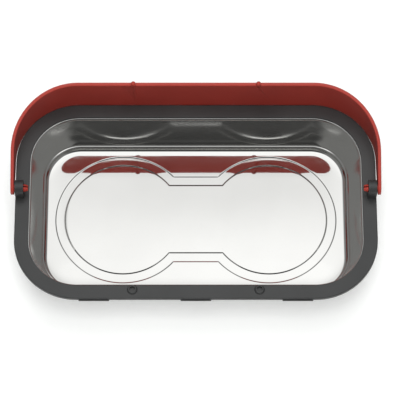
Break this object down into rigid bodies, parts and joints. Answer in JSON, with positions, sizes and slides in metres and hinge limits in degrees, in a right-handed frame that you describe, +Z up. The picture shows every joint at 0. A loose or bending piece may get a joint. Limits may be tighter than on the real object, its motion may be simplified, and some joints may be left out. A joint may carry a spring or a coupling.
{
  "type": "magnetic parts tray",
  "caption": "Rectangular steel tray with an embossed floor, a clipped plastic rim, a swinging band handle and ring magnets under a rubber base, for holding loose hardware.",
  "frame": {"origin": "centre of the base cover's flat underside, on the surface that the tray stands on", "axes": "+X to the right along the tray's length, +Y to the back where the handle lies at rest, +Z up"},
  "size_m": [0.2462, 0.1438, 0.0803],
  "materials": {
    "polished_steel": "mirror-polished stainless steel sheet",
    "rim_plastic": "satin moulded dark-grey plastic",
    "handle_plastic": "satin moulded red plastic",
    "base_rubber": "matt moulded rubber",
    "ferrite": "sintered, ground faces",
    "plated_steel": "zinc-plated steel"
  },
  "bodies": {
    "tray": {"pan": "polished_steel", "rim_frame": "rim_plastic", "base_cover": "base_rubber", "left_magnet": "ferrite", "right_magnet": "ferrite", "left_retainer": "plated_steel", "right_retainer": "plated_steel", "left_stud": "plated_steel", "right_stud": "plated_steel", "left_washer": "plated_steel", "right_washer": "plated_steel", "left_nut": "plated_steel", "right_nut": "plated_steel"},
    "handle": {"handle": "handle_plastic"}
  },
  "joints": [
    {"name": "handle_swing", "type": "hinge", "parent": "tray", "child": "handle", "pos_m": [0, 0.0056, 0.0548], "axis": [1, 0, 0], "range_deg": [0, 164.65]}
  ]
}
